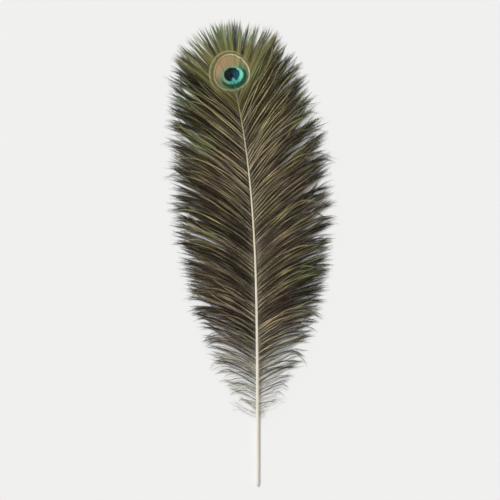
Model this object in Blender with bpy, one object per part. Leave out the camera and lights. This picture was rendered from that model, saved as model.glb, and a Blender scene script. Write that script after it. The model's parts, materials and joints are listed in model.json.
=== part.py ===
"""One peacock train feather, lying flat with its display side up.

The quill end points along -Y and the eye and its fringe along +Y. The quill is
bare and goes on as the shaft, which thins evenly and ends inside the eye. Barbs
grow from both sides of the shaft. Here they are gathered into locks, each
standing for about ten barbs, and the closed vane of the eye is one low, domed
plate with a flat underside. A feather grows as one piece, so shaft, locks and
eye are joined into a single solid, 0.70 m from quill end to fringe.
"""

import math

import bmesh
import bpy
from mathutils import Vector

# Driving dimensions, in metres. Distances "along" are measured from the quill end.
BARE_QUILL = 0.122  # stripped part, up to the first barbs
EYE_AT = 0.611  # middle of the eye's dark heart
SHAFT_END = 0.600  # the shaft stops at the notch below the heart
QUILL_RADIUS = 0.0026
QUILL_END_SHARE = 0.7  # of QUILL_RADIUS, at the very end
THINNING_FROM = 0.061  # the quill keeps its width up to here
THINNING_POWER = 0.9
SHAFT_TIP_RADIUS = 0.0006
SHAFT_STEPS = 26
BOW = 0.038  # how far the eye lies to the left of the quill's line
BOW_POWER = 4  # most of the bow is near the eye
ARCH = 0.011  # how far barbs prop the middle of the shaft off the surface
ARCH_START = 0.045  # the quill lies flat up to here

EYE_WIDTH = 0.058  # closed vane around the eye
EYE_LENGTH = 0.068
EYE_BELOW_HEART = 0.030  # part of EYE_LENGTH on the quill's side of the heart
EYE_THICKNESS = 0.0032
EYE_EGG = 0.07  # how much fuller the egg shape is towards the quill
EYE_SEGMENTS = 28
EYE_RINGS = 10

LOOSE_LOCKS = 29  # on each side, from the bare quill to the eye
EYE_LOCKS = 6  # on each side, fanning out through the eye
FIRST_EYE_LOCK = 0.568
LOCK_STEPS = 7
LOCK_THICKNESS = 0.22  # of the lock's half width
LOCK_SECTION = ((-1, 0), (0.45, 0), (1, 0.35), (0.1, 1), (-0.7, 0.75))  # (across, up), both of 1
LOCK_HUMP = 0.0035  # how far a lock rises before it droops to the surface
LOCK_UNEVENNESS = 0.035  # share by which lock lengths differ

# Along the shaft: (distance, barb length, angle at the shaft, angle at the tip, half width of a lock).
BARBS = (
    (BARE_QUILL, 0.052, 56, 98, 0.0048),
    (0.160, 0.084, 53, 94, 0.0060),
    (0.240, 0.124, 49, 86, 0.0070),
    (0.340, 0.152, 45, 76, 0.0076),
    (0.440, 0.160, 41, 64, 0.0076),
    (0.520, 0.150, 37, 52, 0.0074),
    (FIRST_EYE_LOCK, 0.128, 32, 42, 0.0068),
    (SHAFT_END, 0.099, 0, 0, 0.0060),
)


def clear_scene():
    for obj in list(bpy.data.objects):
        bpy.data.objects.remove(obj, do_unlink=True)


def new_collection(name):
    collection = bpy.data.collections.new(name)
    bpy.context.scene.collection.children.link(collection)
    return collection


def feather_material():
    material = bpy.data.materials.new("feather")
    material.use_nodes = True
    shader = material.node_tree.nodes["Principled BSDF"]
    shader.inputs["Base Color"].default_value = (0.115, 0.105, 0.045, 1)
    shader.inputs["Roughness"].default_value = 0.55
    shader.inputs["Metallic"].default_value = 0.0
    return material


def smooth(share):
    """0 to 1 with level ends."""
    share = min(max(share, 0.0), 1.0)
    return share * share * (3 - 2 * share)


def barbs_at(along):
    """(length, angle at the shaft, angle at the tip, half width) of the barbs there, with angles in radians."""
    for low, high in zip(BARBS, BARBS[1:]):
        if along <= high[0]:
            break
    share = (along - low[0]) / (high[0] - low[0])
    length, root, tip, width = (a + (b - a) * share for a, b in zip(low[1:], high[1:]))
    return length, math.radians(root), math.radians(tip), width


def shaft_radius(along):
    """Full at the quill, then thinning evenly to the end."""
    thinning = max(along - THINNING_FROM, 0.0) / (SHAFT_END - THINNING_FROM)
    return QUILL_RADIUS + (SHAFT_TIP_RADIUS - QUILL_RADIUS) * thinning**THINNING_POWER


def shaft_point(along):
    """Centre of the shaft: bowed to the left and propped up in the middle."""
    share = (along - ARCH_START) / (SHAFT_END - ARCH_START)
    lift = ARCH * math.sin(math.pi * min(max(share, 0.0), 1.0)) ** 2
    return Vector((-BOW * (along / EYE_AT) ** BOW_POWER, along, shaft_radius(along) + lift))


def shaft_heading(along):
    """Unit vector along the shaft, in plan."""
    slope = BOW_POWER * BOW * along ** (BOW_POWER - 1) / EYE_AT**BOW_POWER
    return Vector((-slope, 1, 0)).normalized()


def poly_curve(name, points, radii, collection):
    curve = bpy.data.curves.new(name, "CURVE")
    curve.dimensions = "3D"
    curve.twist_mode = "Z_UP"
    curve.use_fill_caps = True
    spline = curve.splines.new("POLY")
    spline.points.add(len(points) - 1)
    for spot, point, radius in zip(spline.points, points, radii):
        spot.co = (*point, 1)
        spot.radius = radius
    obj = bpy.data.objects.new(name, curve)
    collection.objects.link(obj)
    return obj


def as_solid(obj, collection):
    """The curve as a closed mesh object, its caps welded to its sides."""
    bpy.context.view_layer.update()
    evaluated = obj.evaluated_get(bpy.context.evaluated_depsgraph_get())
    mesh = bpy.data.meshes.new_from_object(evaluated)
    bm = bmesh.new()
    bm.from_mesh(mesh)
    bmesh.ops.remove_doubles(bm, verts=bm.verts, dist=1e-6)
    bmesh.ops.recalc_face_normals(bm, faces=bm.faces)
    bm.to_mesh(mesh)
    bm.free()
    solid = bpy.data.objects.new(obj.name + "_solid", mesh)
    solid.matrix_world = obj.matrix_world
    collection.objects.link(solid)
    bpy.data.objects.remove(obj, do_unlink=True)
    return solid


def make_shaft(collection):
    spots = [SHAFT_END * step / SHAFT_STEPS for step in range(SHAFT_STEPS + 1)]
    radii = [shaft_radius(along) / QUILL_RADIUS for along in spots]
    radii[0] *= QUILL_END_SHARE
    curve = poly_curve("shaft", [shaft_point(along) for along in spots], radii, collection)
    curve.data.bevel_depth = QUILL_RADIUS
    curve.data.bevel_resolution = 3
    return as_solid(curve, collection)


def lock_section(side, collection):
    """Half width 1, level below and ridged above, with the lifted edge towards the quill on both sides."""
    curve = bpy.data.curves.new("lock_section", "CURVE")
    curve.dimensions = "2D"
    spline = curve.splines.new("POLY")
    spline.points.add(len(LOCK_SECTION) - 1)
    for spot, (across, up) in zip(spline.points, LOCK_SECTION):
        spot.co = (side * across, up * LOCK_THICKNESS, 0, 1)
    spline.use_cyclic_u = True
    obj = bpy.data.objects.new("lock_section", curve)
    obj.hide_render = True
    obj.display_type = "WIRE"
    collection.objects.link(obj)
    return obj


def lock_fullness(share):
    """Half width along a lock: slim at the shaft, full in the middle, pointed at the tip."""
    return 0.60 + 0.40 * smooth(share / 0.4) - 0.93 * smooth((share - 0.5) / 0.5) ** 1.3


def make_lock(name, along, side, stretch, section, collection):
    """One lock, curving out from the shaft and drooping until its tip meets the surface."""
    length, root_angle, tip_angle, half_width = barbs_at(along)
    heading = shaft_heading(along)
    outward = Vector((heading.y, -heading.x, 0)) * side
    point = shaft_point(along)
    rest, root_height = point.copy(), point.z - 0.5 * shaft_radius(along)
    points, radii = [], []
    for step in range(LOCK_STEPS + 1):
        share = step / LOCK_STEPS
        angle = root_angle + (tip_angle - root_angle) * (share - 0.5 / LOCK_STEPS)
        if step:
            stride = length * stretch / LOCK_STEPS
            rest += stride * (math.cos(angle) * heading + math.sin(angle) * outward)
        height = root_height * (1 - smooth(share)) + LOCK_HUMP * math.sin(math.pi * share)
        points.append((rest.x, rest.y, height))
        radii.append(half_width * lock_fullness(share))
    curve = poly_curve(name, points, radii, collection)
    curve.data.bevel_mode = "OBJECT"
    curve.data.bevel_object = section
    return as_solid(curve, collection)


def make_locks(collection):
    """Two rows of locks, their lengths a little uneven, and one on the feather's line."""
    spots = [
        BARE_QUILL + (FIRST_EYE_LOCK - BARE_QUILL) * number / LOOSE_LOCKS
        for number in range(LOOSE_LOCKS)
    ]
    spots += [
        FIRST_EYE_LOCK + (SHAFT_END - FIRST_EYE_LOCK) * number / EYE_LOCKS
        for number in range(EYE_LOCKS)
    ]
    locks = []
    for side, word in ((-1, "left"), (1, "right")):
        section = lock_section(side, collection)
        for number, along in enumerate(spots):
            uneven = 1 + LOCK_UNEVENNESS * math.sin(2.4 * number + side)
            name = f"{word}_lock_{number:02d}"
            locks.append(make_lock(name, along, side, uneven, section, collection))
    locks.append(make_lock("end_lock", SHAFT_END, 1, 1, section, collection))
    return locks


def make_eye(collection):
    """The closed vane around the eye: a low dome, egg-shaped in plan and flat below."""
    bm = bmesh.new()
    bmesh.ops.create_uvsphere(bm, u_segments=EYE_SEGMENTS, v_segments=EYE_RINGS, radius=1)
    every = bm.verts[:] + bm.edges[:] + bm.faces[:]
    bmesh.ops.bisect_plane(bm, geom=every, plane_co=(0, 0, 0), plane_no=(0, 0, 1), clear_inner=True)
    bmesh.ops.holes_fill(bm, edges=[edge for edge in bm.edges if edge.is_boundary])
    heading = shaft_heading(EYE_AT)
    outward = Vector((heading.y, -heading.x, 0))
    heart = shaft_point(EYE_AT)
    centre = Vector((heart.x, heart.y, 0)) + heading * (EYE_LENGTH / 2 - EYE_BELOW_HEART)
    for vert in bm.verts:
        across, up_feather, high = vert.co
        across *= 1 - EYE_EGG * up_feather
        vert.co = centre + outward * across * EYE_WIDTH / 2 + heading * up_feather * EYE_LENGTH / 2
        vert.co.z = high * EYE_THICKNESS
    bmesh.ops.recalc_face_normals(bm, faces=bm.faces)
    mesh = bpy.data.meshes.new("eye")
    bm.to_mesh(mesh)
    bm.free()
    eye = bpy.data.objects.new("eye_solid", mesh)
    collection.objects.link(eye)
    return eye


def join(shaft, others, collection):
    """One solid of the shaft and everything that grows from it."""
    grown = bpy.data.collections.new("grown")
    for obj in others:
        grown.objects.link(obj)
    union = shaft.modifiers.new("grown_together", "BOOLEAN")
    union.operation = "UNION"
    union.operand_type = "COLLECTION"
    union.collection = grown
    bpy.context.view_layer.update()
    evaluated = shaft.evaluated_get(bpy.context.evaluated_depsgraph_get())
    mesh = bpy.data.meshes.new_from_object(evaluated)
    mesh.name = "feather"
    feather = bpy.data.objects.new("feather", mesh)
    collection.objects.link(feather)
    for obj in [shaft, *others]:
        bpy.data.objects.remove(obj, do_unlink=True)
    return feather


def stand_on_origin(feather):
    """Puts the middle of the feather's box over the origin, and its underside on the surface."""
    corners = [Vector(corner) for corner in feather.bound_box]
    low = Vector(min(corner[axis] for corner in corners) for axis in range(3))
    high = Vector(max(corner[axis] for corner in corners) for axis in range(3))
    middle = (low + high) / 2
    for vert in feather.data.vertices:
        vert.co -= Vector((middle.x, middle.y, low.z))


def main():
    clear_scene()
    helpers = new_collection("helpers")
    parts = new_collection("peacock_feather")
    shaft = make_shaft(helpers)
    feather = join(shaft, [*make_locks(helpers), make_eye(helpers)], parts)
    stand_on_origin(feather)
    feather.data.materials.clear()
    feather.data.materials.append(feather_material())


main()
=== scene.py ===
# %% [markdown]
# # A peacock feather, dressed barb by barb
#
# The feather is one grown thing: a pale quill that thins into a shaft, hundreds of loose barbs along both
# sides of it, and an eye of close-set barbs at the tip. It lies with its coloured side up, quill towards -Y
# and eye towards +Y, and is looked at from straight above.
#
# The fixed model gives its size and place as one plain solid, with the barbs gathered into thick locks. This
# script grows the real thing in the same space: every barb is a thin stem with two rows of barbules. So many
# small things are made as joined meshes from arrays, which Blender takes in one go. The shaft, a single
# smooth shape, is modelled with bmesh operators.

# %% Load the fixed model
import json
import math

import bmesh
import bpy
import numpy as np
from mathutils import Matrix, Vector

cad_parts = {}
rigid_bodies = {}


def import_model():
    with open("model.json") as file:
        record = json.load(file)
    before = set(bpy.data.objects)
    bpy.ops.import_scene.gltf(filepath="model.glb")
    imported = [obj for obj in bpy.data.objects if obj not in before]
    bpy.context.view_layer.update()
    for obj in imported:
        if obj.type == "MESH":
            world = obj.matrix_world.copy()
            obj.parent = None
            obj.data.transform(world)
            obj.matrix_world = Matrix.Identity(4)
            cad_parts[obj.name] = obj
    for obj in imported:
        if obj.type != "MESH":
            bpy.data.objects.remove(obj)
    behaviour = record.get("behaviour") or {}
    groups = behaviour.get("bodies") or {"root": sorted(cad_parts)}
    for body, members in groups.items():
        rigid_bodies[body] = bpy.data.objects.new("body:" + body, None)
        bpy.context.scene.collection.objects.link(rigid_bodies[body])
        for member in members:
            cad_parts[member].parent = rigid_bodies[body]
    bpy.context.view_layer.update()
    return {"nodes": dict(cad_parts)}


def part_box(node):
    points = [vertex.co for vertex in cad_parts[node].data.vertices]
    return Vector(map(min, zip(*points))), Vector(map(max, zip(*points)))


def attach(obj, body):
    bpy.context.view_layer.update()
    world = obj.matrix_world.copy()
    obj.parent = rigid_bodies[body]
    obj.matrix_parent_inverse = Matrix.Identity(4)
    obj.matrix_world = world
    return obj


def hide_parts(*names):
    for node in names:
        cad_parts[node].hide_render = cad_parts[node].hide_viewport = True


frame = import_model()
feather_low, feather_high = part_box("feather")
print("feather box, m:", [round(high - low, 4) for low, high in zip(feather_low, feather_high)])

# %% [markdown]
# ## Where things lie on a feather
#
# Everything on a feather is placed by how far along the shaft it grows, measured from the quill's end. The
# shaft bows to the left towards the eye, and its middle is propped up a little by the barbs below it. The
# same few numbers shaped the fixed model, so what grows here stays where that is.
#
# The quill's line isn't the middle of the box, because the feather bows. It is read off the fixed model: the
# points at its low end are the quill's end.

# %% Driving sizes, in metres
QUILL_RADIUS = 0.0026
SHAFT_TIP_RADIUS = 0.0006
SHAFT_END = 0.600  # the shaft stops at the notch below the eye's heart
EYE_AT = 0.611  # middle of the heart
BARE_QUILL = 0.122  # only a few hairs and wisps grow lower than this
THINS_FROM = 0.5 * BARE_QUILL  # the quill keeps its full width up to here
THINNING_BEND = 0.9  # below 1, the shaft thins a little faster at first
BOW = 0.038  # how far the eye lies to the left of the quill's line
BOW_POWER = 4  # high, so nearly all of the bow is in the upper half
ARCH = 0.011  # how far the middle of the shaft is propped up
ARCH_START = 0.045  # the quill lies on the floor up to here
BARB_HUMP = 0.0035  # how far a barb rises before it droops
END_SLICE = 0.0005  # points of the fixed model this close to its low end are on the quill's end

node_points = np.array([vert.co for vert in frame["nodes"]["feather"].data.vertices])
quill_end = node_points[node_points[:, 1] < feather_low.y + END_SLICE]
QUILL_X = float(quill_end[:, 0].min() + quill_end[:, 0].max()) / 2
QUILL_Y = feather_low.y
print("the quill's end lies at", round(QUILL_X, 4), round(QUILL_Y, 4))


# %% Helpers that place a point along the shaft
def smooth(share):
    """0 to 1 with level ends."""
    share = np.clip(share, 0, 1)
    return share * share * (3 - 2 * share)


def unit(vectors):
    return vectors / np.linalg.norm(vectors, axis=-1, keepdims=True)


def shaft_radius(along):
    thinning = np.maximum(along - THINS_FROM, 0) / (SHAFT_END - THINS_FROM)
    return QUILL_RADIUS + (SHAFT_TIP_RADIUS - QUILL_RADIUS) * thinning**THINNING_BEND


def shaft_points(along):
    """Centres of the shaft, one row for each distance along it."""
    lift = ARCH * np.sin(math.pi * np.clip((along - ARCH_START) / (SHAFT_END - ARCH_START), 0, 1)) ** 2
    left = BOW * (along / EYE_AT) ** BOW_POWER
    return np.stack([QUILL_X - left, QUILL_Y + along, shaft_radius(along) + lift], -1)


def shaft_headings(along):
    """Unit vectors along the shaft, in plan."""
    slope = BOW_POWER * BOW * along ** (BOW_POWER - 1) / EYE_AT**BOW_POWER
    return unit(np.stack([-slope, np.ones_like(slope)], -1))


EYE_CENTRE = shaft_points(np.array(EYE_AT))
EYE_HEADING = shaft_headings(np.array(EYE_AT))
print("the eye's heart lies at", EYE_CENTRE.round(4), "and heads", EYE_HEADING.round(3))

# %% [markdown]
# ## A barb's line
#
# Barbs leave the shaft at a slant and curve outwards. Low down they are short and wide open. By the eye they
# run almost with the shaft, and the last ones fan out of its end. A small table holds that change, and any
# barb's line is read between its rows. The line is then walked in short strides, each turned a little further
# than the last, the way a turtle draws.

# %% The table of barbs
# (distance along the shaft, barb length, angle at the shaft, angle at the tip), in metres and degrees
BARBS = np.array(
    (
        (0.122, 0.052, 56, 98),
        (0.160, 0.084, 53, 94),
        (0.240, 0.124, 49, 86),
        (0.340, 0.152, 45, 76),
        (0.440, 0.160, 41, 64),
        (0.520, 0.150, 37, 52),
        (0.568, 0.128, 32, 42),
        (0.600, 0.099, 0, 0),
    )
)
BARB_STEPS = 18
SHARES = np.linspace(0, 1, BARB_STEPS + 1)
ROOT_DEPTH = 0.35  # of the shaft's radius: barbs leave the shaft this far below its middle
CURL_FROM = 0.5  # share of a barb's length where its own curl begins
LAYERED_BY = 0.3  # share of its length by which a barb lies at its own level in the pile


def barb_row(along):
    """Length, angle at the shaft and angle at the tip, in metres and radians."""
    length, root, tip = (np.interp(along, BARBS[:, 0], BARBS[:, column]) for column in (1, 2, 3))
    return length, np.radians(root), np.radians(tip)


print("the longest barb is", BARBS[:, 1].max(), "m, walked in", BARB_STEPS, "strides")


# %% A helper that draws barbs' lines
def barb_lines(along, side, stretch, root_turn, tip_turn, curl, layer):
    """Points along each barb, from the shaft to its tip: (barbs, steps + 1, 3).

    side is -1 or 1, stretch a share of the full length, the turns are in radians and layer is in metres.
    """
    length, root, tip = barb_row(along)
    root, tip = root + root_turn, tip + tip_turn
    mid = (SHARES[1:] - 0.5 / BARB_STEPS)[None]
    # A short barb is a long one cut off early, so that neighbours stay side by side.
    angle = root[:, None] + (tip - root)[:, None] * mid * stretch[:, None]
    angle = angle + curl[:, None] * smooth((mid - CURL_FROM) / (1 - CURL_FROM))
    heading = shaft_headings(along)
    outward = side * np.stack([heading[:, 1], -heading[:, 0]], -1)
    ahead, aside = np.cos(angle)[..., None] * heading[:, None], np.sin(angle)[..., None] * outward[:, None]
    strides = (length * stretch / BARB_STEPS)[:, None, None] * (ahead + aside)
    roots = shaft_points(along)
    plan = roots[:, None, :2] + np.concatenate([0 * strides[:, :1], np.cumsum(strides, 1)], 1)
    height = (roots[:, 2] - ROOT_DEPTH * shaft_radius(along))[:, None] * (1 - smooth(SHARES))
    height = height + BARB_HUMP * np.sin(math.pi * SHARES) + layer[:, None] * smooth(SHARES / LAYERED_BY)
    return np.concatenate([plan, height[..., None]], -1)


ONE, ZERO = np.ones(1), np.zeros(1)
plain_barb = barb_lines(ONE * SHAFT_END / 2, 1, ONE, ZERO, ZERO, ZERO, ZERO)[0]
print("a plain barb from halfway up the shaft ends at", plain_barb[-1].round(3))

# %% [markdown]
# ## Clumps, waves and strays
#
# Loose barbs cling together in clumps with gaps between them. The middle of a clump rides on top and catches
# the light, and its sides sink into shade, and the finishes paint that light and shade into the barbs' colour
# too. So neighbours share a clump number, and each barb's line is pulled towards the middle line of its
# clump, more and more on the way out. The last quarter lets go again, which frays the clumps' ends into
# single tips.
# A few barbs stray and lie across the others.

# %% Helpers that gather barbs
GATHERED_BY = 0.75  # share of the length where the pull is strongest
LET_GO_FROM = 0.72  # share of the length where the pull begins to end
LET_GO = 0.6  # share of the pull that is gone at the very tip
rng = np.random.default_rng(7)


def clump_numbers(count, smallest, largest):
    """Neighbours share a number, in runs of uneven length."""
    sizes = rng.integers(smallest, largest + 1, count)
    return np.repeat(np.arange(count), sizes)[:count]


def ridge(clump):
    """1 on the middle barb of each clump, falling towards 0 at its edges."""
    size = np.bincount(clump)
    first = np.cumsum(size) - size
    place = (np.arange(len(clump)) - first[clump] + 0.5) / size[clump]
    return 1 - np.abs(2 * place - 1)


def gather(lines, clump, strength, start):
    """Lines pulled towards the mean line of their clump, from a share of their length onwards."""
    total = np.zeros((clump.max() + 1, *lines.shape[1:]))
    np.add.at(total, clump, lines)
    middle = total / np.maximum(np.bincount(clump), 1)[:, None, None]
    grip = smooth((SHARES - start) / (GATHERED_BY - start))
    grip *= 1 - LET_GO * smooth((SHARES - LET_GO_FROM) / (1 - LET_GO_FROM))
    return lines + (strength[:, None] * grip)[..., None] * (middle[clump] - lines)


print("how high the barbs of a clump of seven ride:", ridge(np.zeros(7, int)).round(2))

# %% [markdown]
# Nothing that grew is straight. A slow sideways wave, of a size and a length of its own for each barb, is
# laid over its line. At the end every line is kept between the surface that the feather lies on and the top
# of its box, so that a barb rests on the surface and doesn't pass through it.

# %% Helpers that bend barbs and keep them in their room
WAVE_FULL_AFTER = 0.6  # share of a barb's length over which a wave grows to its full size
WAVE_SPREAD = (0.7, 1.3)  # fewest and most waves on a barb, as shares of the usual number
LOWEST = 0.00035  # no barb's middle goes below this
BARB_HEADROOM = 0.0022  # kept free between it and the top of the box, for its barbules
TIP_LOWEST, TIP_HEADROOM = LOWEST / 2, 0.0003  # the same two limits for barbules' tips


def level_across(run):
    """Unit vectors square to a direction and level with the floor."""
    return unit(np.stack([run[..., 1], -run[..., 0], 0 * run[..., 0]], -1))


def waver(lines, reach, turns, start=0.0):
    """Lines with a slow sideways wave that grows from a share of their length onwards."""
    count = len(lines)
    phase = rng.uniform(0, 2 * math.pi, (count, 1))
    size = rng.normal(0, reach, (count, 1))
    wave = size * np.sin(phase + 2 * math.pi * turns * rng.uniform(*WAVE_SPREAD, (count, 1)) * SHARES)
    wave *= smooth((SHARES - start) / WAVE_FULL_AFTER)
    return lines + wave[..., None] * level_across(np.gradient(lines, axis=1))


def in_the_room(lines):
    heights = np.clip(lines[..., 2:], LOWEST, feather_high.z - BARB_HEADROOM)
    return np.concatenate([lines[..., :2], heights], -1)


print("a barb's middle stays between", LOWEST, "and", round(feather_high.z - BARB_HEADROOM, 4), "m")

# %% [markdown]
# ## From a line to a stem
#
# A barb's stem is thinner than a millimetre. A bevelled curve would make it, but hundreds of curves with
# rounded sections are heavy, so each stem is a tube of only three sides, shaded smooth, with a small cap at
# both ends. All the stems of a piece are worked out at once: three corners round every point of every line.
#
# Each barb is also unrolled on its own strip of the UV map. Along the strip is along the barb, with the stem
# in its middle and the barbules on both sides. A strip is a whole number of pixels high on a map of 512, and
# its faces keep off its edges, so a baked colour never bleeds from one barb to the next.

# %% Helpers that grow stems
STEM_CORNERS = np.radians((90, 210, 330))
STEM_TAPER = 0.75  # share of a stem's radius that is gone at its tip
STEM_TAPER_BEND = 1.5  # above 1, a stem thins mostly towards its tip
STEM_STRIP = 0.2  # share of a UV strip that the stem takes
CAP_STRIP = np.array(((0, -0.5), (0.002, 0), (0, 0.5))) * (1, STEM_STRIP)  # a cap's corners on it


def halved(quads):
    """Each row of four corners as two rows of three."""
    return np.concatenate([quads[:, [0, 1, 2]], quads[:, [0, 2, 3]]])


def grow_stems(lines, radius):
    """Three-sided tubes. Each set of arrays keeps, for a point, its barb and its share of the barb's length,
    and how far out it is on a barbule. For a face it keeps its barb, and its corners' places on the strip.
    """
    count = len(lines)
    run = unit(np.gradient(lines, axis=1))
    across = level_across(run)
    above = np.cross(across, run)
    level, steep = np.cos(STEM_CORNERS)[:, None], np.sin(STEM_CORNERS)[:, None]
    spokes = level * across[:, :, None] + steep * above[:, :, None]
    taper = radius[:, None] * (1 - STEM_TAPER * SHARES**STEM_TAPER_BEND)
    points = (lines[:, :, None] + taper[..., None, None] * spokes).reshape(-1, 3)
    index = np.arange(len(points)).reshape(count, BARB_STEPS + 1, 3)
    here, there, after = index[:, :-1], index[:, 1:], (1, 2, 0)
    quads = np.stack([here, here[..., after], there[..., after], there], -1).reshape(-1, 4)
    barb, step, side = np.indices((count, BARB_STEPS, 3)).reshape(3, -1)
    u = np.stack([step, step, step + 1, step + 1], -1) / BARB_STEPS
    v = (np.stack([side, side + 1, side + 1, side], -1) / 3 - 0.5) * STEM_STRIP
    return {
        "points": points,
        "point_barb": np.repeat(np.arange(count), (BARB_STEPS + 1) * 3),
        "share": np.tile(np.repeat(SHARES, 3), count),
        "out": np.zeros(len(points)),
        "faces": np.concatenate([halved(quads), index[:, 0, ::-1], index[:, -1]]),
        "face_barb": np.concatenate([barb, barb, np.arange(count), np.arange(count)]),
        "places": np.concatenate([halved(np.stack([u, v], -1)), np.tile(CAP_STRIP, (2 * count, 1, 1))]),
    }


plain_stem = grow_stems(plain_barb[None], ONE * SHAFT_TIP_RADIUS)
print("a stem has", len(plain_stem["faces"]), "triangles")

# %% [markdown]
# ## Barbules
#
# A barb is a feather on the feather: a barbule stands on both sides of it every half millimetre or less. With
# hundreds of thousands of them each may have only one face, so a barbule is a slim pointed blade. They slant
# towards the barb's tip, and each is tipped a little out of the plane, which breaks up the light as the real
# ones do. They are short next to the shaft, full over most of the barb, and short again at its tip.

# %% Helpers that grow barbules
SLANT, SLANT_SPREAD = 48, 6  # degrees between a barbule and its barb
REACH_SPREAD = (0.8, 1.1)
REACH_BY_SHAFT = 0.45  # a barbule's share of the full reach where its barb leaves the shaft
FULL_AFTER = 0.12  # share of a barb's length after which barbules have their full reach
# (by how much they shorten, from which share of the barb's length, over what share of it)
SHORTENING = ((0.42, 0.66, 0.34), (0.46, 0.88, 0.12))
FEWEST_BARBULES = 4
OWN_ROOM = (0.1, 0.9)  # where a barbule stands in its own short stretch of the barb
STRIP_REACH = 1.12  # room on the UV strip for the longest barbule, as a share of the full reach


def barbule_profile(share):
    """How long barbules are, as a share of the full reach."""
    lost = sum(amount * smooth((share - start) / over) for amount, start, over in SHORTENING)
    return REACH_BY_SHAFT + (1 - REACH_BY_SHAFT) * smooth(share / FULL_AFTER) - lost


def along_lines(lines, barb, share):
    """Points and directions at a share of the length of chosen barbs."""
    at = share * BARB_STEPS
    low = np.minimum(at.astype(int), BARB_STEPS - 1)
    start, end = lines[barb, low], lines[barb, low + 1]
    return start + (end - start) * (at - low)[:, None], unit(end - start)


def barbule_roots(lengths, spacing):
    """Which barb each barbule stands on, its share of the length and its side."""
    number = np.maximum((lengths / spacing).astype(int), FEWEST_BARBULES)
    barb = np.repeat(np.arange(len(lengths)), number)
    first = np.repeat(np.cumsum(number) - number, number)
    share = (np.arange(len(barb)) - first + rng.uniform(*OWN_ROOM, len(barb))) / number[barb]
    return np.tile(barb, 2), np.tile(share, 2), np.repeat((-1.0, 1.0), len(barb))


def grow_barbules(lines, lengths, fullness, spacing, reach, width, lift, scatter):
    """Slim blades on both sides of each barb, in the same arrays as the stems.

    fullness is each barb's share of the full reach. lift and scatter tip the blades up, in degrees.
    """
    barb, share, side = barbule_roots(lengths, spacing)
    count = len(barb)
    base, run = along_lines(lines, barb, share)
    across = level_across(run)
    above = np.cross(across, run)
    slant = np.radians(rng.normal(SLANT, SLANT_SPREAD, count))[:, None]
    tip_up = np.radians(rng.normal(lift, scatter, count))[:, None]
    aside = side[:, None] * across * np.cos(tip_up) + above * np.sin(tip_up)
    profile = barbule_profile(share) * fullness[barb]
    long = reach * profile * rng.uniform(*REACH_SPREAD, count)
    tips = base + (np.cos(slant) * run + np.sin(slant) * aside) * long[:, None]
    tips[:, 2] = np.clip(tips[:, 2], TIP_LOWEST, feather_high.z - TIP_HEADROOM)
    half = (0.5 * width * np.sqrt(profile))[:, None] * run
    step = width / lengths[barb] / 2
    lean = long * np.cos(slant[:, 0]) / lengths[barb]
    edge = side * STEM_STRIP / 2
    outer = edge + side * (0.5 - STEM_STRIP / 2) * long / (STRIP_REACH * reach)
    faces = np.arange(3 * count).reshape(-1, 3)
    places = np.stack([[share - step, edge], [share + step, edge], [share + lean, outer]]).transpose(2, 0, 1)
    # On the right side the corners run the other way round, so that those faces look up too.
    right = side > 0
    faces[right], places[right] = faces[right, ::-1], places[right, ::-1]
    return {
        "points": np.stack([base - half, base + half, tips], 1).reshape(-1, 3),
        "point_barb": np.repeat(barb, 3),
        "share": np.repeat(share, 3),
        "out": np.tile((0.0, 0.0, 1.0), count),
        "faces": faces,
        "face_barb": barb,
        "places": places,
    }


print("barbules' reach from root to tip of a barb:", barbule_profile(SHARES[::3]).round(2))

# %% [markdown]
# ## One piece from many barbs
#
# The stems and barbules of a piece become one mesh. Two numbers stay on its points for the finishes to read:
# the share of the barb's length, and a tone of painted light and shade that says how much light the barb
# would get in the pile. As if barbs twisted a little, the painted light rises and falls along each of them,
# and barbules get painted shade outwards.

# %% A helper that joins barbs into one piece
MAP_PIXELS = 512
STRIP_MARGIN = 0.8  # pixels kept free in each strip
STRIP_START, STRIP_LENGTH = 0.005, 0.97  # of the map's width
# Painted light: how often the light painted on a barb rises and falls, as turns of a twist from end to end
TWISTS = (1.5, 4.0)  # turns of a barb from end to end


def strip_places(places, barb, count):
    """Places on a barb's own strip, set on the whole UV map."""
    strip = MAP_PIXELS // count
    u = STRIP_START + STRIP_LENGTH * np.clip(places[..., 0], 0, 1)
    v = (strip * (barb[:, None] + 0.5) + (strip - STRIP_MARGIN) * places[..., 1]) / MAP_PIXELS
    return np.stack([u, v], -1)


def add_object(name, data):
    """A new object at the origin, unturned and unscaled."""
    obj = bpy.data.objects.new(name, data)
    bpy.context.scene.collection.objects.link(obj)
    return obj


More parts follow.
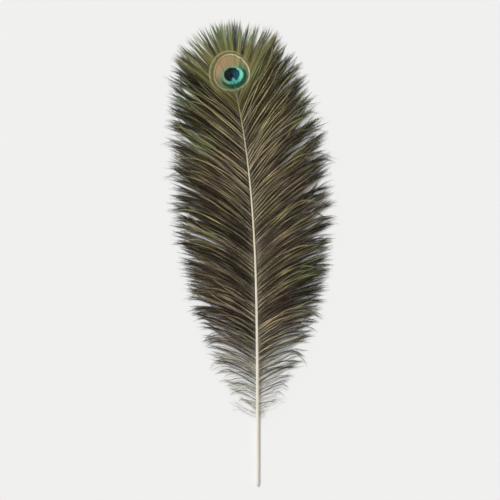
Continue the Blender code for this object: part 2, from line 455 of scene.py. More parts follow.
def barb_piece(name, lines, lengths, fullness, painted_pile_light, stem_radius, blades, finishes, twist_shade, out_shade):
    """One object. Its painted light swings with a seeming twist along each barb, and painted shade falls
    outwards along each barbule.
    """
    count = len(lines)
    stems = grow_stems(lines, stem_radius)
    fans = grow_barbules(lines, lengths, fullness, **blades)
    is_fan = np.arange(len(stems["faces"]) + len(fans["faces"])) >= len(stems["faces"])
    fans["faces"] += len(stems["points"])
    both = {word: np.concatenate([stems[word], fans[word]]) for word in stems}
    owner, share = both["point_barb"], both["share"]
    turns, start = rng.uniform(*TWISTS, count), rng.uniform(0, 2 * math.pi, count)
    # Painted light: the pile's light, swinging along each barb as if it twisted to and from the sun
    painted_light = painted_pile_light[owner] + twist_shade * np.sin(start[owner] + 2 * math.pi * turns[owner] * share)
    mesh = bpy.data.meshes.new(name)
    mesh.from_pydata(both["points"], [], both["faces"], shade_flat=False)
    mesh.polygons.foreach_set("material_index", is_fan.astype(np.int32))
    places = strip_places(both["places"], both["face_barb"], count)
    mesh.uv_layers.new(name="OFBake").uv.foreach_set("vector", places.astype(np.float32).ravel())
    # Barbules get painted shade towards their tips
    for word, values in (("barb_share", share), ("barb_painted_light", painted_light - out_shade * both["out"])):
        mesh.attributes.new(word, "FLOAT", "POINT").data.foreach_set("value", values.astype(np.float32))
    for finish in finishes:
        mesh.materials.append(finish)
    print(name, "has", count, "barbs and", len(mesh.polygons), "triangles")
    return add_object(name, mesh)


# %% [markdown]
# ## Finishes made of nodes
#
# Every finish here is worked out by nodes from places on the feather or from the numbers kept on its points,
# so no picture is needed and a patch of colour can run across neighbouring barbs. Short helpers add a node or
# a few, which lets the finishes below read like sentences. A node's output knows which tree it stands in, so
# only helpers that start without one are told the tree.


# %% Helpers for nodes
def plug(value, socket):
    """Feed a socket from another node's output, or set it to a number, a vector or a colour."""
    if isinstance(value, bpy.types.NodeSocket):
        socket.id_data.links.new(value, socket)
    elif socket.type == "RGBA":
        socket.default_value = (*value, 1)
    else:
        socket.default_value = value


def node(tree, kind, inputs=(), **settings):
    """A new node. Each input is (name or number, what is plugged in)."""
    made = tree.nodes.new("ShaderNode" + kind)
    for name, value in settings.items():
        setattr(made, name, value)
    for name, value in inputs:
        plug(value, made.inputs[name])
    return made


def tree_of(*values):
    """The node tree of the first of the values that is another node's output."""
    return next(value.id_data for value in values if isinstance(value, bpy.types.NodeSocket))


def maths(operation, *values):
    return node(tree_of(*values), "Math", enumerate(values), operation=operation).outputs[0]


def fade(value, start, end, low=0.0, high=1.0):
    """The value's place between start and end, turned into low to high."""
    inputs = [("Value", value), ("From Min", start), ("From Max", end), ("To Min", low), ("To Max", high)]
    return node(value.id_data, "MapRange", inputs).outputs[0]


def blend(share, first, second, way="MIX"):
    """Two colours mixed. Inputs 0, 6 and 7 are the ones that a colour mix uses."""
    inputs = [(0, share), (6, first), (7, second)]
    tree = tree_of(share, first, second)
    return node(tree, "Mix", inputs, data_type="RGBA", blend_type=way).outputs[2]


def ramp(value, stops):
    """A colour ramp of (position, (r, g, b)) stops."""
    made = node(value.id_data, "ValToRGB", [("Fac", value)])
    elements = made.color_ramp.elements
    while len(elements) < len(stops):
        elements.new(0.5)
    for element, (position, colour) in zip(elements, stops):
        element.position = position
        element.color = (*colour, 1)
    return made.outputs["Color"]


# %% Helpers that read the feather
def set_sockets(shader, **sockets):
    """Plug values into a shader. A socket's name has _ here where the shader's own has a space."""
    for name, value in sockets.items():
        plug(value, shader.inputs[name.replace("_", " ")])


def new_material(name, **sockets):
    """A material, its node tree and its shader, with the shader's own sockets set by name."""
    material = bpy.data.materials.new(name)
    material.use_nodes = True
    shader = material.node_tree.nodes["Principled BSDF"]
    set_sockets(shader, **sockets)
    return material, material.node_tree, shader


def srgb(*seen):
    """A colour given as it looks on screen, 0 to 255, turned into the linear numbers that shaders take."""
    shares = [part / 255 for part in seen]
    return tuple(((part + 0.055) / 1.055) ** 2.4 if part > 0.04 else part / 12.92 for part in shares)


def noise_on_feather(tree, scale, detail=2.0, stretch=(1, 1, 1)):
    """0 to 1 noise by place on the feather."""
    places = node(tree, "TexCoord").outputs["Object"]
    mapped = node(tree, "Mapping", [("Vector", places), ("Scale", stretch)]).outputs[0]
    return node(tree, "TexNoise", [("Vector", mapped), ("Scale", scale), ("Detail", detail)]).outputs["Fac"]


def kept_value(tree, word):
    """A number that the mesh keeps on its points."""
    return node(tree, "Attribute", attribute_name=word).outputs["Fac"]


def place_along(tree, start, end):
    """0 to 1 between two places along Y."""
    places = node(tree, "TexCoord").outputs["Object"]
    return fade(node(tree, "SeparateXYZ", [(0, places)]).outputs["Y"], start, end)


def with_painted_light(colour, darkest, lightest, bend=1.0):
    """The colour with painted light and shade: lighter on barbs on top of the pile, darker on those deep in
    it. A bend above 1 keeps light ones few.
    """
    painted_pile_light = maths("POWER", fade(kept_value(colour.id_data, "barb_painted_light"), 0, 1), bend)
    return blend(1.0, colour, fade(painted_pile_light, 0, 1, darkest, lightest), "MULTIPLY")


def bumped(shader, height, strength, depth):
    """The shader's surface raised by a height of 0 to 1, to a depth in metres."""
    inputs = [("Height", height), ("Strength", strength), ("Distance", depth)]
    plug(node(height.id_data, "Bump", inputs).outputs[0], shader.inputs["Normal"])


# %% [markdown]
# ## The finish of loose barbules
#
# Loose barbules hold only brown pigment. What plays over it between bronze, olive and green is made by layers
# far thinner than a hair. The base colour gives the bronze and olive seen from straight above, in patches
# that drift over the feather, with some pinkish brown lower down and more green by the eye and at the tips.
# The shader's thin film adds what a painted colour can't: the green and blue that come up where the feather
# is seen at a slant. A share of metal tints the gloss with the base colour. Barbules on top of the pile are
# glossier than those in it, and a fine bump stands for the row of cells in each.

# %% Loose barbules: olive, green and bronze
OLIVE = srgb(110, 107, 61)
GREEN = srgb(86, 116, 62)
BROWN = srgb(104, 88, 60)
BRONZE = srgb(114, 92, 54)
PINKISH = srgb(114, 95, 76)
TIP_GREEN = srgb(84, 104, 80)
# (place from the quill's end to the fringe, how green the barbules are there)
GREENNESS = ((0.18, 0.4), (0.36, 0.15), (0.62, 0.1), (0.8, 0.95))
TIPS_FROM, TIPS_SHARE = 0.6, 0.6  # from this share of a barb's length its tip turns green, by this share
PATCH_SCALE = 16
FILM_NANOMETRES, FILM_IOR = 580.0, 1.3
CELL_SCALE, CELL_STRENGTH, CELL_DEPTH = 2600, 0.5, 0.00006


def loose_barbule_material():
    material, tree, shader = new_material(
        "loose_barbules",
        Metallic=0.4,
        Specular_IOR_Level=0.05,
        Thin_Film_Thickness=FILM_NANOMETRES,
        Thin_Film_IOR=FILM_IOR,
    )
    patches = noise_on_feather(tree, PATCH_SCALE, detail=3)
    brown = ramp(patches, ((0.36, PINKISH), (0.48, BROWN), (0.64, OLIVE)))
    green = ramp(patches, ((0.34, BRONZE), (0.46, OLIVE), (0.56, OLIVE), (0.68, GREEN)))
    place = place_along(tree, feather_low.y, feather_high.y)
    greenness = ramp(place, [(spot, (share,) * 3) for spot, share in GREENNESS])
    base = blend(greenness, brown, green)
    tips = fade(kept_value(tree, "barb_share"), TIPS_FROM, 1, high=TIPS_SHARE)
    # Painted light and shade: lighter on barbs high in the pile, darker on those deep in it, down to black
    base = with_painted_light(blend(tips, base, TIP_GREEN), darkest=0.0, lightest=2.0, bend=2.7)
    roughness = fade(kept_value(tree, "barb_painted_light"), 0, 1, low=0.52, high=0.38)
    set_sockets(shader, Base_Color=base, Roughness=roughness)
    bumped(shader, noise_on_feather(tree, CELL_SCALE), CELL_STRENGTH, CELL_DEPTH)
    return material


# %% [markdown]
# ## The finish of the stems
#
# A barb's stem is plain keratin like the shaft: pale and smooth where it leaves the shaft, khaki further out
# and dull olive at the tip.

# %% Barb stems: khaki
STEM_BASE, STEM_MIDDLE, STEM_TIP = srgb(228, 218, 190), srgb(200, 189, 160), srgb(142, 135, 110)


def stem_material():
    material, tree, shader = new_material("barb_stems")
    length = kept_value(tree, "barb_share")
    base = ramp(length, ((0.0, STEM_BASE), (0.25, STEM_MIDDLE), (1.0, STEM_TIP)))
    # Painted light and shade on the stems, as on their barbules
    base = with_painted_light(base, darkest=0.05, lightest=1.9, bend=2.4)
    roughness = fade(length, 0, 1, low=0.38, high=0.55)
    set_sockets(shader, Base_Color=base, Roughness=roughness)
    return material


loose_finishes = [stem_material(), loose_barbule_material()]
print("finishes:", [finish.name for finish in loose_finishes])

# %% [markdown]
# ## The loose barbs
#
# They grow on both sides from the top of the bare quill up to the eye. The lowest are a few weak wisps two
# millimetres apart that curl and droop, some of them as bare as a hair. Higher up they stand closer than a
# millimetre and lie in clumps. How strongly each barb turns, curls and strays is drawn from a seeded random
# generator, so the feather is the same every time.

# %% Where loose barbs grow
LOOSE_FROM, LOOSE_HALFWAY, EYE_FROM = 0.101, 0.35, 0.552
SPACING_LOW, SPACING_HIGH = 0.0022, 0.00084
CROWDED_OVER = 0.15  # stretch of the shaft over which the barbs crowd together and grow full
FIRST_BARBS = 0.03  # over this stretch the lowest barbs grow to their full length
LAST_HAIRS = 0.06  # bare hairs stand among the barbs up to here
LAST_WISPS = 0.16


def risen(along, stretch):
    """0 where the lowest barb grows, 1 a stretch further up."""
    return smooth((along - LOOSE_FROM) / stretch)


def loose_roots(first, last):
    """Distances along the shaft, closer together the higher up."""
    spots = [first]
    while spots[-1] < last:
        crowding = float(risen(spots[-1], CROWDED_OVER))
        spots.append(spots[-1] + SPACING_LOW + (SPACING_HIGH - SPACING_LOW) * crowding)
    return np.array(spots[:-1])


print(len(loose_roots(LOOSE_FROM, EYE_FROM)), "loose barbs will grow on each side")

# %% Helpers that pile and bend loose barbs
PILE_LOW, PILE_HIGH = -0.0008, 0.0028  # heights of the pile's bottom and top, from a barb's own line
CLUMP_HEIGHTS = (0.6, 1.0)
CLUMP_FOOT, CLUMP_RISE, RIDGE_BEND = 0.1, 0.66, 2.5  # a bend above 1 lets only a clump's middle rise
OWN_LEVEL = 0.28  # how far a barb may lie above its place in the clump
STRAY_LEVEL = 0.6  # strays lie at least this high
CLUMP, LOCK = (4, 9), (12, 26)  # barbs that cling closely, and barbs that lean together
CLUMP_GRIP, LOCK_GRIP = (0.35, 0.95), (0.05, 0.3)  # weakest and strongest pull
CLUMP_GRIP_FROM, LOCK_GRIP_FROM = 0.1, 0.35  # shares of the barbs' length
# How much the barbs' angles differ, in degrees, and how much more those of wisps and of strays do
ROOT_TURN, WISP_ROOT_TURN, STRAY_ROOT_TURN = 1.5, 4, 2
TIP_TURN, WISP_TIP_TURN, STRAY_TIP_TURN = 3, 9, 12
CURL, WISP_CURL, STRAY_CURL, CLUMP_CURL = 6, 14, 22, 9
WISP_DROOP = 16
SLOW_WAVE, QUICK_WAVE = (0.0012, 1.1), (0.0004, 3.2)  # size in metres, waves along a barb


def pile_levels(clump, stray):
    """Each barb's place in the pile: 1 on top, 0 at the bottom. Strays lie near the top."""
    count = len(clump)
    clump_height = rng.uniform(*CLUMP_HEIGHTS, count)[clump]
    level = (CLUMP_FOOT + CLUMP_RISE * ridge(clump) ** RIDGE_BEND) * clump_height
    level = level + OWN_LEVEL * rng.random(count)
    return np.where(stray, STRAY_LEVEL + (1 - STRAY_LEVEL) * level, level)


def loose_lines(along, side, stretch, wisp, stray, clump, level):
    """Lines of loose barbs. Angles are drawn in degrees."""
    count = len(along)
    root_turn = rng.normal(0, ROOT_TURN + WISP_ROOT_TURN * wisp + STRAY_ROOT_TURN * stray, count)
    tip_turn = rng.normal(0, TIP_TURN + WISP_TIP_TURN * wisp, count)
    tip_turn = tip_turn + rng.normal(0, STRAY_TIP_TURN, count) * stray
    droop = WISP_DROOP * wisp + rng.normal(0, CLUMP_CURL, count)[clump]
    curl = droop + rng.normal(0, CURL + STRAY_CURL * stray + WISP_CURL * wisp, count)
    layer = PILE_LOW + (PILE_HIGH - PILE_LOW) * level
    lines = barb_lines(along, side, stretch, *np.radians([root_turn, tip_turn, curl]), layer)
    lines = gather(lines, clump, rng.uniform(*CLUMP_GRIP, count) * (1 - stray), CLUMP_GRIP_FROM)
    lock = clump_numbers(count, *LOCK)
    lines = gather(lines, lock, rng.uniform(*LOCK_GRIP, count), LOCK_GRIP_FROM)
    return in_the_room(waver(waver(lines, *SLOW_WAVE), *QUICK_WAVE))


print("the pile of barbs is", round(1000 * (PILE_HIGH - PILE_LOW), 1), "mm thick")

# %% Grow the loose barbs
ROOT_JITTER = 0.0004
STRAYS, WISP_STRAYS = 0.13, 0.15  # share of the barbs that stray, and how much larger it is for wisps
STRETCHES, WISP_SHORTENING = (0.84, 0.985), 0.2  # shares of a barb's full length
LOWEST_STRETCH, LOWEST_FULLNESS = 0.25, 0.4  # what the very lowest barbs have of their full size
HAIRS, HAIR_FULLNESS = 0.3, 0.15
# Painted light that swings along a barb, and painted shade towards the barbules' tips
LOOSE_TONE_SPREAD, LOOSE_SHADES = 0.12, {"twist_shade": 0.12, "out_shade": 0.4}
THIN_STEM, STEM_GAIN = 0.00022, 0.00012  # radius at the bottom of the pile, and how much more on top
LOOSE_BLADES = {"spacing": 0.00042, "reach": 0.0027, "width": 0.0005, "lift": 8, "scatter": 16}


def loose_barbs(name, side, first, last):
    along = loose_roots(first, last)
    count = len(along)
    along = along + rng.uniform(-ROOT_JITTER, ROOT_JITTER, count)
    wisp = 1 - risen(along, LAST_WISPS)
    stray = rng.random(count) < STRAYS + WISP_STRAYS * wisp
    clump = clump_numbers(count, *CLUMP)
    level = pile_levels(clump, stray)
    stretch = rng.uniform(*STRETCHES, count) - WISP_SHORTENING * rng.random(count) * wisp
    hair = rng.random(count) < HAIRS * (1 - risen(along, LAST_HAIRS))
    stretch *= np.where(hair, 1.0, LOWEST_STRETCH + (1 - LOWEST_STRETCH) * risen(along, FIRST_BARBS))
    fullness = LOWEST_FULLNESS + (1 - LOWEST_FULLNESS) * risen(along, CROWDED_OVER)
    fullness = np.where(hair, HAIR_FULLNESS, fullness)
    lines = loose_lines(along, side, stretch, wisp, stray, clump, level)
    # Painted light: a barb high in the pile gets a lighter colour, one deep in it a darker one as painted
    # shade
    painted_pile_light = level + LOOSE_TONE_SPREAD * rng.random(count)
    radius = THIN_STEM + STEM_GAIN * level
    lengths = barb_row(along)[0] * stretch
    return barb_piece(
        name, lines, lengths, fullness, painted_pile_light, radius, LOOSE_BLADES, loose_finishes, **LOOSE_SHADES
    )


loose_pieces = []
for side, word in ((-1, "left"), (1, "right")):
    loose_pieces.append(loose_barbs(f"{word}_lower_barbs", side, LOOSE_FROM, LOOSE_HALFWAY))
    loose_pieces.append(loose_barbs(f"{word}_upper_barbs", side, LOOSE_HALFWAY, EYE_FROM))

# %% [markdown]
# ## Measuring the eye
#
# The eye isn't painted on: each barb carries its own short stretch of every ring, and side by side they make
# the picture. The rings are nested egg shapes round the heart. Each ring is a distance here: how far a place
# is from the ring's middle, measured in its own half width and half height, so 1 is exactly on its outline.
# The kept tone shifts that place a little from barb to barb, so the rings step like the real ones.

# %% Helpers that measure the eye
EYE_LEAN = math.atan2(-EYE_HEADING[0], EYE_HEADING[1])
RING_UNEVENNESS = 2.0  # how far, in millimetres, a ring may step from one barb to the next
MILLIMETRES = 1000.0


def eye_place(tree):
    """Distances across and up the feather from the heart, in millimetres."""
    places = node(tree, "TexCoord").outputs["Object"]
    moved = node(tree, "VectorMath", [(0, places), (1, tuple(EYE_CENTRE))], operation="SUBTRACT").outputs[0]
    turn = [("Vector", moved), ("Angle", -EYE_LEAN)]
    turned = node(tree, "VectorRotate", turn, rotation_type="Z_AXIS").outputs[0]
    scaled = node(tree, "VectorMath", [(0, turned), ("Scale", MILLIMETRES)], operation="SCALE").outputs[0]
    parts = node(tree, "SeparateXYZ", [(0, scaled)])
    uneven = maths("SUBTRACT", kept_value(tree, "barb_painted_light"), 0.5)
    return parts.outputs["X"], maths("MULTIPLY_ADD", uneven, RING_UNEVENNESS, parts.outputs["Y"])


def within(place, middle, half, softness, egg=0.0):
    """1 inside an egg-shaped outline and 0 outside it.

    middle and half are pairs, across and up the feather. softness is the edge's, as a share of the size, and
    egg makes the end towards the quill fuller.
    """
    across, up = (
        maths("DIVIDE", maths("SUBTRACT", place[axis], middle[axis]), half[axis]) for axis in (0, 1)
    )
    across = maths("DIVIDE", across, maths("MULTIPLY_ADD", up, -egg, 1.0))
    square = maths("MULTIPLY_ADD", across, across, maths("MULTIPLY", up, up))
    edges = [("Value", maths("SQRT", square)), ("From Min", 1 - softness), ("From Max", 1 + softness)]
    ends = [("To Min", 1.0), ("To Max", 0.0)]
    return node(square.id_data, "MapRange", edges + ends, interpolation_type="SMOOTHSTEP").outputs[0]


print("the eye leans", round(math.degrees(EYE_LEAN), 1), "degrees to the left")

# %% [markdown]
# ## The rings of colour
#
# From the outside in, the eye has two thin pale rings, each with a brown one inside it, a tan field that
# turns green on the right and towards the quill, a soft green halo, a dark green crescent and a bright one
# that runs from mint to cyan. The heart is near black at its top, inky blue left of its middle and blue-green
# on the right, and the bright crescent cuts a notch into it from below. One image would be quicker, but it
# would need a flat sheet to lie on. Here each function lays one of these over the colour below it.

# %% Sizes and colours of the rings
# (middle, half size, softness of the edge, how egg-shaped), in millimetres across and up from the heart
OUTER_RING = ((-1.6, 4.6), (32.2, 32.2), 0.025, 0.1)
WIDE_BROWN_RING = ((-1.2, 4.4), (30.2, 30.2), 0.03, 0.1)
CREAM_RING = ((0, 4.0), (27, 27.6), 0.025, 0.13)
FINE_BROWN_RING = ((0, 4.0), (25, 25.6), 0.02, 0.13)
TAN_FIELD = ((0, 4.0), (24, 24.6), 0.03, 0.13)
HALO_RING = ((0, -2.8), (20.5, 17.4), 0.14)
DARK_CRESCENT = ((1.8, -3.7), (20.2, 17.2), 0.09)
BRIGHT_CRESCENT = ((0.9, -1.6), (15.9, 12.4), 0.07)
HEART = ((0, 0.5), (11.8, 10.4), 0.06)
HEART_GLOW = ((-3.5, 0), (4.5, 5), 0.7)
NOTCH = ((0.2, -11), (3.6, 6.4), 0.2, 0.3)

EYE_OLIVE, FRINGE_GREEN, BELOW_EYE = srgb(110, 106, 64), srgb(102, 120, 78), srgb(108, 98, 58)
OUTER_GREEN = srgb(158, 162, 118)
CREAM, CREAM_LEFT, CREAM_LOW = srgb(220, 208, 166), srgb(178, 168, 126), srgb(158, 168, 132)
RING_BROWN = srgb(120, 106, 68)
TAN, TAN_RIGHT, TAN_LOW = srgb(184, 152, 113), srgb(160, 150, 108), srgb(112, 132, 90)
HALO, GREEN_BAND, BAND_LEFT = srgb(146, 162, 126), srgb(28, 80, 54), srgb(60, 80, 46)
CYAN, MINT, SAGE = srgb(84, 190, 178), srgb(134, 228, 200), srgb(136, 172, 136)
HEART_EDGE, HEART_MIDDLE = srgb(0, 36, 30), srgb(14, 30, 54)
HEART_TOP, HEART_BLUE = srgb(0, 10, 6), srgb(0, 92, 108)

# Where a colour changes, (from, to) across the eye or up it, in millimetres from the heart
FRINGE_GREENS, VANE_DARKENS = (36, 62), (-20, -34)
OUTER_ACROSS, OUTER_UP = (26, 6), (-24, 4)
CREAM_ACROSS, CREAM_DOWN = (-15, 10), (2, -20)
TAN_ACROSS, TAN_DOWN = (-6, 10), (12, 2)
BAND_ACROSS, BAND_DOWN = (-16, -2), (8, -4)
MINT_ACROSS, CYAN_DOWN = (-14, 8), (-5, -12)
BLUE_ACROSS, BLUE_DOWN, TOP_DARKENS = (-3, 5), (8, 0), (5, 10)
print("the pale outline is", 2 * CREAM_RING[1][0], "mm wide and the heart", 2 * HEART[1][0], "mm")


# %% Helpers that lay the rings over each other
EYE_PATCH_SCALE = 30
OPENING_LEAN = 0.35  # the crescents open towards the upper left, so green climbs higher on the right


def leaning_height(place):
    """How far up a place is, read on a slant that falls to the right."""
    return maths("MULTIPLY_ADD", place[0], -OPENING_LEAN, place[1])


def vane_and_fringe(place):
    patches = noise_on_feather(place[0].id_data, EYE_PATCH_SCALE)
    base = ramp(patches, ((0.35, OLIVE), (0.55, EYE_OLIVE), (0.7, FRINGE_GREEN)))
    base = blend(fade(place[1], *FRINGE_GREENS, high=0.7), base, FRINGE_GREEN)
    base = blend(fade(place[1], *VANE_DARKENS, high=0.85), base, BELOW_EYE)
    # Painted light and shade from the pile, milder in the closed vane
    return with_painted_light(base, darkest=0.1, lightest=1.75, bend=1.2)


def pale_rings(place, base):
    """The outer ring fades to the right and towards the quill."""
    across, up = place
    fading = maths("MULTIPLY", fade(across, *OUTER_ACROSS, low=0.25), fade(up, *OUTER_UP, low=0.1))
    base = blend(maths("MULTIPLY", within(place, *OUTER_RING), fading), base, OUTER_GREEN)
    base = blend(within(place, *WIDE_BROWN_RING), base, RING_BROWN)
    cream = blend(fade(across, *CREAM_ACROSS), CREAM_LEFT, CREAM)
    cream = blend(fade(up, *CREAM_DOWN), cream, CREAM_LOW)
    return blend(within(place, *CREAM_RING), base, cream)


def tan_field(place, base):
    tan = blend(fade(place[0], *TAN_ACROSS), TAN, TAN_RIGHT)
    tan = blend(fade(leaning_height(place), *TAN_DOWN), tan, TAN_LOW)
    base = blend(within(place, *FINE_BROWN_RING), base, RING_BROWN)
    return blend(within(place, *TAN_FIELD), base, tan)


def crescents(place, base):
    """The halo, and inside it the two crescents, which are open towards the upper left."""
    across, up = place
    base = blend(within(place, *HALO_RING), base, HALO)
    dark = blend(fade(across, *BAND_ACROSS), BAND_LEFT, GREEN_BAND)
    opening = fade(leaning_height(place), *BAND_DOWN)
    share = maths("MULTIPLY", within(place, *DARK_CRESCENT), opening)
    base = blend(share, base, dark)
    bright = blend(fade(across, *MINT_ACROSS), SAGE, MINT)
    bright = blend(fade(up, *CYAN_DOWN), bright, CYAN)
    return blend(within(place, *BRIGHT_CRESCENT), base, bright)


def heart(place, base):
    across, up = place
    right_and_low = maths("MULTIPLY", fade(across, *BLUE_ACROSS), fade(up, *BLUE_DOWN))
    dark = blend(right_and_low, HEART_EDGE, HEART_BLUE)
    dark = blend(within(place, *HEART_GLOW), dark, HEART_MIDDLE)
    dark = blend(fade(up, *TOP_DARKENS), dark, HEART_TOP)
    outside_notch = maths("SUBTRACT", 1.0, within(place, *NOTCH))
    return blend(maths("MULTIPLY", within(place, *HEART), outside_notch), base, dark)


def eye_colour(place):
    colour = vane_and_fringe(place)
    for lay_on in (pale_rings, tan_field, crescents, heart):
        colour = lay_on(place, colour)
    return colour


# %% [markdown]
# ## The eye's two finishes
#
# The barbules carry the rings at full strength, and are glossiest in the heart and the bright crescent. The
# stems lie in the same colours, with some of their own khaki showing through.

# %% Eye barbules and eye stems
EYE_KHAKI, KHAKI_SHARE = srgb(178, 165, 118), 0.25


def eye_barbule_material():
    material, tree, shader = new_material("eye_barbules", Metallic=0.3, Specular_IOR_Level=0.2)
    place = eye_place(tree)
    # The pile's painted light and shade once more, gentler, over colours that already carry some
    base = with_painted_light(eye_colour(place), darkest=0.8, lightest=1.12)
    roughness = fade(within(place, *BRIGHT_CRESCENT), 0, 1, low=0.54, high=0.44)
    set_sockets(shader, Base_Color=base, Roughness=roughness)
    bumped(shader, noise_on_feather(tree, CELL_SCALE), CELL_STRENGTH, CELL_DEPTH)
    return material


def eye_stem_material():
    material, tree, shader = new_material("eye_stems")
    base = blend(KHAKI_SHARE, eye_colour(eye_place(tree)), EYE_KHAKI)
    roughness = fade(kept_value(tree, "barb_share"), 0, 1, low=0.4, high=0.55)
    set_sockets(shader, Base_Color=base, Roughness=roughness)
    return material


eye_finishes = [eye_stem_material(), eye_barbule_material()]
print("finishes:", [finish.name for finish in eye_finishes])

# %% [markdown]
# ## The eye and its fringe
#
# Near the end of the shaft the barbs stand half a millimetre apart, so their barbules overlap and close the
# vane. Past the rings they come apart again and make the fringe. They are straighter than the loose ones, and
# clump, curl and waver only as they leave the eye.

# %% Grow the eye's barbs
EYE_SPACING = 0.0005
RIGHT_SHIFT = 0.3  # of the spacing, so that the two sides don't grow in pairs
FRINGE_CLUMP = (1, 7)
FRINGE_GRIP, FRINGE_WAVE = (0.0, 0.75), (0.0006, 1.0)
CLUMPED_FROM, WAVED_FROM = 0.56, 0.4  # shares of the barbs' length
RAGGEDNESS, RAGGED_BEND = 0.2, 1.5  # share that a barb may fall short by, which a bend above 1 makes rare
EYE_ROOT_TURN, EYE_TIP_TURN = 0.2, 0.8  # how much the barbs' angles differ, in degrees
EYE_CLUMP_CURL, EYE_CURL = 5, 5
EYE_PILE = 0.0008  # thickness of the pile of barbs
EYE_CLUMP_LEVEL, EYE_OWN_LEVEL = 0.7, 0.3  # shares of a barb's level that it has with its clump and alone
# Painted light that swings along a barb, and painted shade towards the barbules' tips
EYE_SHADES = {"twist_shade": 0.1, "out_shade": 0.1}
EYE_STEM_RADIUS = 0.00012
EYE_BLADES = {"spacing": 0.0003, "reach": 0.0018, "width": 0.00048, "lift": 3, "scatter": 7}


def eye_barbs(name, side):
    along = np.arange(EYE_FROM, SHAFT_END, EYE_SPACING) + (RIGHT_SHIFT if side > 0 else 0) * EYE_SPACING
    count = len(along)
    stretch = 1 - RAGGEDNESS * rng.random(count) ** RAGGED_BEND
    root_turn, tip_turn = rng.normal(0, EYE_ROOT_TURN, count), rng.normal(0, EYE_TIP_TURN, count)
    clump = clump_numbers(count, *FRINGE_CLUMP)
    curl = rng.normal(0, EYE_CLUMP_CURL, count)[clump] + rng.normal(0, EYE_CURL, count)
    level = EYE_CLUMP_LEVEL * rng.random(count)[clump] + EYE_OWN_LEVEL * rng.random(count)
    lines = barb_lines(along, side, stretch, *np.radians([root_turn, tip_turn, curl]), EYE_PILE * level)
    lines = gather(lines, clump, rng.uniform(*FRINGE_GRIP, count), CLUMPED_FROM)
    lines = in_the_room(waver(lines, *FRINGE_WAVE, WAVED_FROM))
    lengths, full = barb_row(along)[0] * stretch, np.ones(count)
    radius = EYE_STEM_RADIUS * full
    # The level also sets the painted light and shade: lighter on top of the pile, darker deep in it
    return barb_piece(name, lines, lengths, full, level, radius, EYE_BLADES, eye_finishes, **EYE_SHADES)


eye_pieces = [eye_barbs("left_eye_barbs", -1), eye_barbs("right_eye_barbs", 1)]

# %% [markdown]
# ## The shaft
#
# The quill is a pale round tube that narrows to a blunt end with a small hole in it. Above it the shaft turns
# squarer and thinner, with a shallow groove along its underside. A curve with a round bevel couldn't change
# its section on the way, so a plain cylinder is cut into rings, and each ring is moved to its place and given
# that place's section. The hole is the end face, inset and pushed in.

# %% Model the shaft
SHAFT_RINGS = 150
SHAFT_SIDES = 20
QUILL_END_LENGTH = 0.006
QUILL_END_SHARE = 0.55  # of the radius, at the very end
QUILL_WALL_SHARE = 0.4  # of the end's radius
QUILL_HOLE_DEPTH = 0.003
RING_CROWDING = 1.35  # above 1, rings stand closer together at the quill's end
SQUARE_FROM, SQUARE_OVER = 0.09, 0.1  # where the round quill turns into the squarish shaft
SHAFT_CORNERS = 0.35  # how far the section's sides are pushed out towards a square
SHAFT_FLATNESS = 0.08
GROOVE_DEPTH, GROOVE_WIDTH = 0.35, 0.35  # of the radius


def section_point(turn, radius, squareness):
    """A point on the shaft's section: round for the quill, squarish with a groove below for the shaft."""
    across, up = math.cos(turn), math.sin(turn)
    power = 1 - SHAFT_CORNERS * squareness
    across = math.copysign(abs(across) ** power, across)
    up = math.copysign(abs(up) ** power, up)
    if up < 0:
        up += GROOVE_DEPTH * squareness * math.exp(-((across / GROOVE_WIDTH) ** 2))
    else:
        up *= 1 - SHAFT_FLATNESS * squareness
    return radius * across, radius * up


def shaft_cylinder():
    """A cylinder cut into rings along Z, from -0.5 to 0.5."""
    bm = bmesh.new()
    bmesh.ops.create_cone(bm, cap_ends=True, segments=SHAFT_SIDES, radius1=1, radius2=1, depth=1)
    sides = [edge for edge in bm.edges if abs(edge.verts[0].co.z - edge.verts[1].co.z) > 0.5]
    bmesh.ops.subdivide_edges(bm, edges=sides, cuts=SHAFT_RINGS, use_grid_fill=True)
    return bm


def mesh_from(bm, name, finish):
    mesh = bpy.data.meshes.new(name)
    bm.to_mesh(mesh)
    bm.free()
    mesh.materials.append(finish)
    return mesh


def make_shaft(finish):
    bm = shaft_cylinder()
    spots = SHAFT_END * (np.array([vert.co.z for vert in bm.verts]) + 0.5).clip(0, 1) ** RING_CROWDING
    centres, headings, radii = shaft_points(spots), shaft_headings(spots), shaft_radius(spots)
    radii *= QUILL_END_SHARE + (1 - QUILL_END_SHARE) * np.sqrt(np.minimum(spots / QUILL_END_LENGTH, 1))
    squareness = smooth((spots - SQUARE_FROM) / SQUARE_OVER)
    for vert, centre, heading, radius, square in zip(bm.verts, centres, headings, radii, squareness):
        across, up = section_point(math.atan2(vert.co.y, vert.co.x), float(radius), float(square))
        x, y, z = centre
        vert.co = (x + across * heading[1], y - across * heading[0], z + up)
    open_end = min(bm.faces, key=lambda face: face.calc_center_median().y)
    wall = QUILL_WALL_SHARE * QUILL_END_SHARE * QUILL_RADIUS
    bmesh.ops.inset_individual(bm, faces=[open_end], thickness=wall)
    bmesh.ops.translate(bm, verts=open_end.verts, vec=(0, QUILL_HOLE_DEPTH, 0))
    bmesh.ops.recalc_face_normals(bm, faces=bm.faces)
    mesh = mesh_from(bm, "shaft", finish)
    mesh.shade_smooth()
    return add_object("shaft", mesh)


# %% [markdown]
# ## The finish of the quill and the shaft
#
# Quill keratin is smooth and faintly waxy, near white at the end, cream above it, tan where the shaft nears
# the eye and green where it enters it. Fine streaks run along it. Noise that is stretched fifty times along
# the feather makes them, and the same noise shades the colour, changes the gloss and raises the surface a
# little.

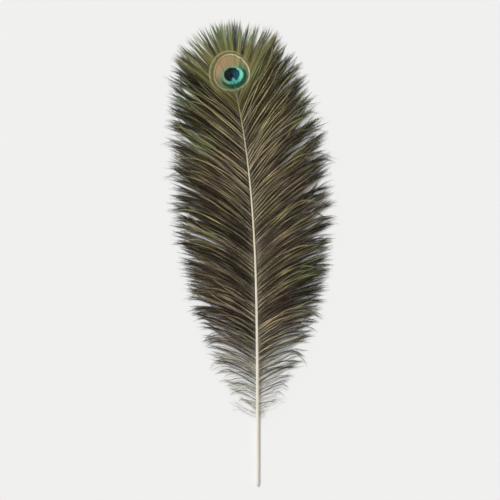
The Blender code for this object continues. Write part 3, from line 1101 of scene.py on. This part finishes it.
# %% Quill keratin, and the shaft itself
# (place from the quill's end to the shaft's, colour there)
KERATIN = (
    (0.0, srgb(240, 236, 226)),
    (0.3, srgb(240, 233, 214)),
    (0.75, srgb(226, 212, 176)),
    (0.93, srgb(170, 154, 104)),
    (1.0, srgb(30, 120, 100)),
)
STREAK_SCALE, STREAK_STRETCH = 1300, (1, 0.02, 1)
STREAK_STRENGTH, STREAK_DEPTH = 0.4, 0.0002
STREAK_RANGE = (0.3, 0.7)  # values of the noise between which a streak goes from none to full


def keratin_material():
    material, tree, shader = new_material("quill_keratin", Coat_Weight=0.15)
    colour = ramp(place_along(tree, QUILL_Y, QUILL_Y + SHAFT_END), KERATIN)
    streaks = noise_on_feather(tree, STREAK_SCALE, detail=3, stretch=STREAK_STRETCH)
    colour = blend(1.0, colour, fade(streaks, *STREAK_RANGE, low=0.82), "MULTIPLY")
    roughness = fade(streaks, *STREAK_RANGE, low=0.44, high=0.3)
    set_sockets(shader, Base_Color=colour, Roughness=roughness)
    bumped(shader, streaks, STREAK_STRENGTH, STREAK_DEPTH)
    return material


shaft = make_shaft(keratin_material())
print("shaft has", len(shaft.data.polygons), "faces")

# %% [markdown]
# ## Everything rides on the one body
#
# The feather has no joint. All pieces together stand for the plain solid.

# %% Ride and replace
for piece in [shaft, *loose_pieces, *eye_pieces]:
    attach(piece, "root")
    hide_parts("feather")
print("pieces on the body:", 1 + len(loose_pieces) + len(eye_pieces))

# %% [markdown]
# ## Floor
#
# A feather is photographed on a pale sheet. One big face is enough for it, far wider than any view.

# %% Make the floor
FLOOR_SIZE = 40


def make_floor():
    bm = bmesh.new()
    bmesh.ops.create_grid(bm, x_segments=1, y_segments=1, size=FLOOR_SIZE / 2)
    finish = new_material("pale_floor", Roughness=0.9, Base_Color=(0.86, 0.86, 0.85))[0]
    return add_object("floor", mesh_from(bm, "floor", finish))


make_floor()
print("the floor is", FLOOR_SIZE, "m wide")

# %% [markdown]
# ## Light
#
# Broad soft light suits a feather. A sun lamp with a wide disc comes from the upper left and gives the barbs
# their small soft shadows, evenly over the whole sheet, which a lamp near the feather wouldn't. The sky gives
# the rest. It is brightest low down, like a lit backdrop, so that a view from the side shows no hard horizon.

# %% Light the feather
SUN_STRENGTH, SUN_DISC = 2.2, math.radians(14)
SUN_TILT = (math.radians(-30), math.radians(-34), 0)
SKY_LOW, SKY_HIGH, SKY_HIGH_FROM = 0.86, 0.5, 0.3


def light_sky(world):
    """A white sky that dims upwards."""
    world.use_nodes = True
    tree = world.node_tree
    rise = node(tree, "SeparateXYZ", [(0, node(tree, "TexCoord").outputs["Generated"])]).outputs["Z"]
    sky = tree.nodes["Background"]
    plug((1, 1, 1), sky.inputs["Color"])
    plug(fade(rise, 0, SKY_HIGH_FROM, SKY_LOW, SKY_HIGH), sky.inputs["Strength"])


sun = bpy.data.lights.new("soft_sun", "SUN")
sun.energy, sun.angle = SUN_STRENGTH, SUN_DISC
sun_lamp = add_object("soft_sun", sun)
sun_lamp.rotation_euler = SUN_TILT
bpy.context.scene.world = bpy.data.worlds.new("studio")
light_sky(bpy.context.scene.world)
print("the sun's disc is", round(math.degrees(sun.angle)), "degrees wide")

# %% [markdown]
# ## Camera
#
# It hangs straight above the middle of the feather, with the eye at the top of the picture. Colours are shown
# as they are given, without the film-like curve that would grey the eye.

# %% Hang the camera
LENS, SENSOR = 85, 36  # millimetres
FRAME_HEIGHT = 0.745  # how much of the floor the picture holds, in metres
lens = bpy.data.cameras.new("overhead")
lens.lens, lens.sensor_width = LENS, SENSOR
camera = add_object("overhead", lens)
camera.location = (0, 0, FRAME_HEIGHT / SENSOR * LENS)
bpy.context.scene.camera = camera
bpy.context.scene.view_settings.view_transform = "Standard"
print("the camera hangs", round(camera.location.z, 2), "m up")
